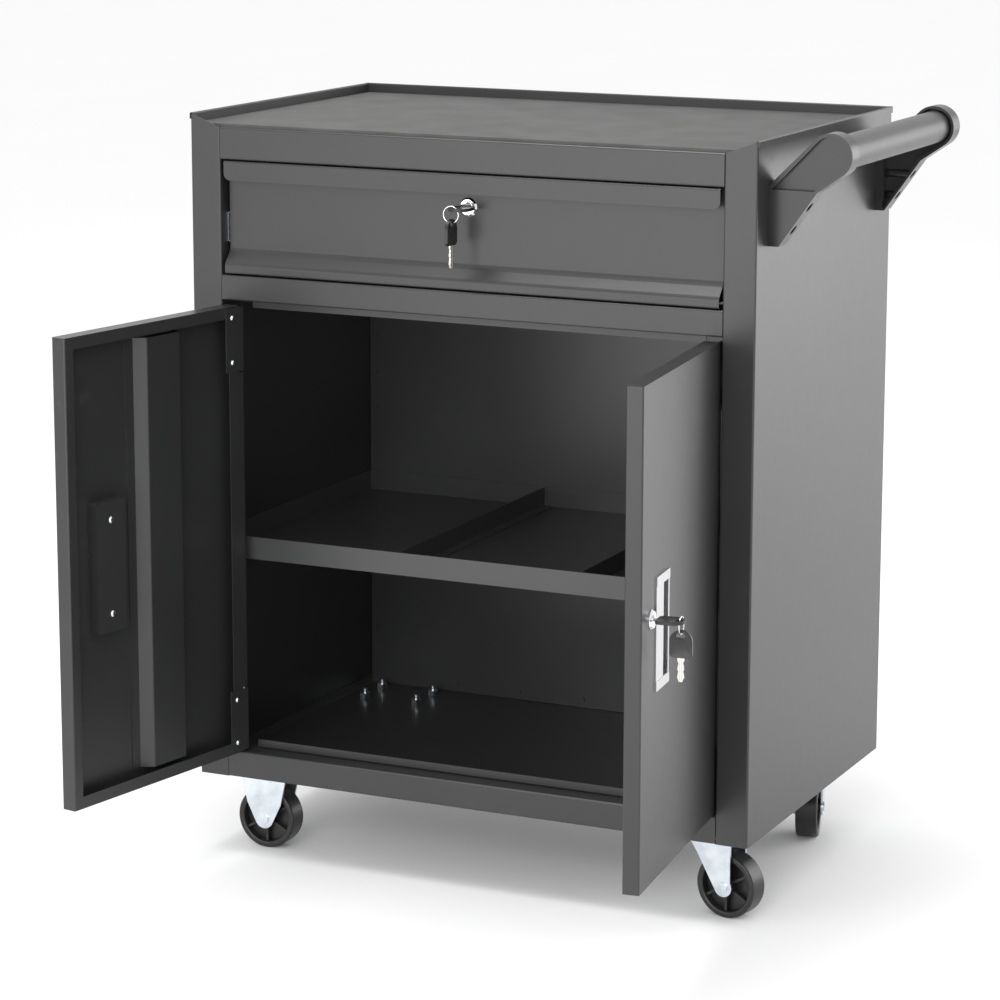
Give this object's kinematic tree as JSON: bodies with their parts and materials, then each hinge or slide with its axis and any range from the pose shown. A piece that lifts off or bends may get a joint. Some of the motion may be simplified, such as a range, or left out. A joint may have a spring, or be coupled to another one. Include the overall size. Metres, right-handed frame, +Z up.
{
  "type": "tool cart",
  "caption": "Rolling sheet-steel tool cart with a lipped tray top, a locking drawer, paired doors, a shelf and a side push handle",
  "frame": {"origin": "centre of the mat's top face in the tray, half way across the cabinet and half way along the mat", "axes": "+X to the side with the push handle, +Y from the doors to the back, +Z up"},
  "size_m": [0.8175, 0.7467, 0.9085],
  "materials": {
    "black_steel": "satin black powder coat",
    "rubber_mat": "matt grey",
    "zinc": "bright zinc plate",
    "chrome": "polished",
    "alu": "satin",
    "black_plastic": "moulded black",
    "grey_tube": "satin grey",
    "wheel_plastic": "moulded black"
  },
  "bodies": {
    "cabinet": {"left_side": "black_steel", "right_side": "black_steel", "back_panel": "black_steel", "floor_pan": "black_steel", "bottom_rail": "black_steel", "mid_rail": "black_steel", "door_stops": "black_steel", "top_pan": "black_steel", "top_mat": "rubber_mat", "shelf": "black_steel", "shelf_dividers": "black_steel", "rivets": "black_steel", "slide_outer_members": "zinc", "slide_brackets": "black_steel", "hinge_post_leaves": "black_steel", "hinge_pins": "zinc", "post_hinge_screws": "zinc", "handle_brackets": "black_plastic", "handle_tube": "grey_tube", "handle_screws": "black_steel", "rigid_forks": "zinc", "rigid_axles": "zinc", "swivel_plates": "zinc", "kingpins": "zinc", "caster_bolts": "zinc", "caster_nuts": "zinc"},
    "slide_middles": {"slide_middle_members": "zinc"},
    "drawer": {"slide_inner_members": "zinc", "drawer_box": "black_steel", "drawer_front": "black_steel", "drawer_lock_body": "chrome"},
    "drawer_plug": {"drawer_lock_plug": "chrome", "drawer_key": "black_plastic"},
    "drawer_ring": {"drawer_key_ring": "chrome"},
    "drawer_spare": {"drawer_spare_key": "black_plastic"},
    "left_door": {"left_door": "black_steel", "left_stiffener": "black_steel", "left_pull": "alu", "left_pull_cover": "black_steel", "left_hinge_leaves": "black_steel", "left_door_screws": "zinc"},
    "right_door": {"right_door": "black_steel", "right_stiffener": "black_steel", "right_pull": "alu", "right_pull_cover": "black_steel", "right_hinge_leaves": "black_steel", "right_door_screws": "zinc", "door_lock_body": "chrome"},
    "door_plug": {"door_lock_plug": "chrome", "door_key": "black_plastic"},
    "door_ring": {"door_key_ring": "chrome"},
    "door_spare": {"door_spare_key": "black_plastic"},
    "front_swivel": {"front_swivel_fork": "zinc", "front_swivel_axle": "zinc"},
    "rear_swivel": {"rear_swivel_fork": "zinc", "rear_swivel_axle": "zinc"},
    "front_left_wheel": {"front_left_wheel": "wheel_plastic"},
    "rear_left_wheel": {"rear_left_wheel": "wheel_plastic"},
    "front_right_wheel": {"front_right_wheel": "wheel_plastic"},
    "rear_right_wheel": {"rear_right_wheel": "wheel_plastic"}
  },
  "joints": [
    {"name": "left_door_hinge", "type": "hinge", "parent": "cabinet", "child": "left_door", "pos_m": [-0.3065, -0.2175, -0.5], "axis": [0, 0, -1], "range_deg": [-100, 4]},
    {"name": "right_door_hinge", "type": "hinge", "parent": "cabinet", "child": "right_door", "pos_m": [0.3065, -0.2175, -0.5], "axis": [0, 0, 1], "range_deg": [-96.5, 7.5]},
    {"name": "drawer_slide", "type": "slide", "parent": "cabinet", "child": "drawer", "axis": [0, -1, 0], "range_m": [0, 0.3]},
    {"name": "slide_middle", "type": "slide", "parent": "cabinet", "child": "slide_middles", "axis": [0, -1, 0], "range_m": [0, 0.15]},
    {"name": "drawer_lock_turn", "type": "hinge", "parent": "drawer", "child": "drawer_plug", "pos_m": [0, -0.2115, -0.0818], "axis": [0, 1, 0], "range_deg": [-90, 0]},
    {"name": "drawer_ring_swing", "type": "hinge", "parent": "drawer_plug", "child": "drawer_ring", "pos_m": [0, -0.2425, -0.0818], "axis": [1, 0, 0], "range_deg": [-12, 12]},
    {"name": "drawer_spare_slide", "type": "hinge", "parent": "drawer_ring", "child": "drawer_spare", "pos_m": [-0.00752, -0.2425, -0.08744], "axis": [0, 1, 0], "range_deg": [0, 90]},
    {"name": "door_lock_turn", "type": "hinge", "parent": "right_door", "child": "door_plug", "pos_m": [0.34364, -0.48602, -0.4652], "axis": [0.9936, 0.1132, 0], "range_deg": [-90, 0]},
    {"name": "door_ring_swing", "type": "hinge", "parent": "door_plug", "child": "door_ring", "pos_m": [0.37444, -0.48251, -0.4652], "axis": [0.1132, -0.9936, 0], "range_deg": [-12, 12]},
    {"name": "door_spare_slide", "type": "hinge", "parent": "door_ring", "child": "door_spare", "pos_m": [0.37359, -0.47504, -0.47084], "axis": [0.9936, 0.1132, 0], "range_deg": [0, 90]},
    {"name": "front_swivel_turn", "type": "hinge", "parent": "cabinet", "child": "front_swivel", "pos_m": [0.288, -0.173, -0.8], "axis": [0, 0, 1], "continuous": true},
    {"name": "rear_swivel_turn", "type": "hinge", "parent": "cabinet", "child": "rear_swivel", "pos_m": [0.288, 0.173, -0.8], "axis": [0, 0, 1], "continuous": true},
    {"name": "front_left_spin", "type": "hinge", "parent": "cabinet", "child": "front_left_wheel", "pos_m": [-0.288, -0.173, -0.8507], "axis": [0, 1, 0], "continuous": true},
    {"name": "rear_left_spin", "type": "hinge", "parent": "cabinet", "child": "rear_left_wheel", "pos_m": [-0.288, 0.173, -0.8507], "axis": [0, 1, 0], "continuous": true},
    {"name": "front_right_spin", "type": "hinge", "parent": "front_swivel", "child": "front_right_wheel", "pos_m": [0.31853, -0.17838, -0.8507], "axis": [0.1736, 0.9848, 0], "continuous": true},
    {"name": "rear_right_spin", "type": "hinge", "parent": "rear_swivel", "child": "rear_right_wheel", "pos_m": [0.29602, 0.14306, -0.8507], "axis": [0.9659, 0.2588, 0], "continuous": true}
  ],
  "couplings": [
    {"joint": "slide_middle", "follows": "drawer_slide", "ratio": 0.5},
    {"joint": "drawer_spare_slide", "follows": "drawer_lock_turn", "ratio": -1},
    {"joint": "door_spare_slide", "follows": "door_lock_turn", "ratio": -1}
  ]
}
